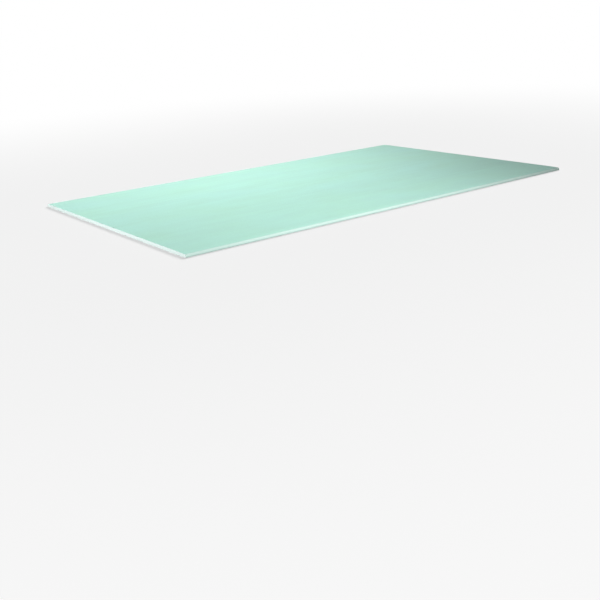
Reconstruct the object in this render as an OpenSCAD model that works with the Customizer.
// Drywall sheet, lying on its back with the face up.
// X runs along the length, Y across the width and Z through the thickness, in millimetres.
// The origin is the middle of the back, on the floor.

/* [Sheet] */
// Length, between the two sawn ends
sheet_length = 2000; // [1000:50:3600]
// Width, between the two paper-wrapped long edges
sheet_width = 1200; // [600:50:1250]
// Thickness, away from the tapered edges
sheet_thickness = 12.5; // [9.5:0.5:25]

/* [Long edges] */
// Strip along each long edge over which the face slopes down, for the joint filler
taper_width = 50; // [40:1:80]
// How far the face has dropped where the rounding of the edge begins
taper_depth = 1.2; // [0.6:0.1:2.5]
// Radius of the half-round edge, from the slope down to the upright
edge_radius = 8; // [3:0.5:12]
// Radius of the paper's fold at the foot of the edge
fold_radius = 1; // [0.5:0.1:2]

/* [Paper lap on the back] */
// How far the face paper is folded onto the back along each long edge
lap_width = 22; // [10:1:35]
// Thickness of the back paper, which stops at the lap and leaves a step
liner_thickness = 0.3; // [0.2:0.05:0.6]

/* [Hidden] */
$fn = 64;
half_width = sheet_width / 2;
// The face's height at the top of the rounded edge
shoulder_z = sheet_thickness - taper_depth;
// The foot of the upright, above the fold
upright_foot_z = liner_thickness + fold_radius;
// The least height of the upright
least_upright = 1;
// A thin sheet gets a tighter rounding, so that this much upright is left below it
edge_round = min(edge_radius, shoulder_z - upright_foot_z - least_upright);
// The head of the upright, where the rounding ends
upright_head_z = shoulder_z - edge_round;

// A quarter disc in the first quadrant, for a rounded corner
module quarter_round(radius) {
    intersection() {
        circle(radius);
        square(radius);
    }
}

// The straight-sided part of the section, from the back's middle round one long edge to the face
side_points = [
    [half_width - lap_width, 0],
    [half_width - lap_width, liner_thickness],
    [half_width - fold_radius, liner_thickness],
    [half_width - fold_radius, upright_foot_z],
    [half_width, upright_foot_z],
    [half_width, upright_head_z],
    [half_width - edge_round, upright_head_z],
    [half_width - edge_round, shoulder_z],
    [half_width - taper_width, sheet_thickness]
];

// The same run of points on the other long edge, in reverse, so that the outline closes
mirrored_points = [for (i = [len(side_points) - 1 : -1 : 0]) [-side_points[i].x, side_points[i].y]];

// The whole section across the width
module section() {
    polygon(concat(side_points, mirrored_points));
    for (side = [0, 1]) {
        mirror([side, 0, 0]) {
            translate([half_width - edge_round, upright_head_z])
                quarter_round(edge_round);
            translate([half_width - fold_radius, upright_foot_z])
                mirror([0, 1, 0])
                    quarter_round(fold_radius);
        }
    }
}

// The sheet: the section run along the length and cut square at both ends
module drywall_sheet() {
    color("#bce9da")
        rotate([90, 0, 90])
            linear_extrude(height = sheet_length, center = true)
                section();
}

drywall_sheet();
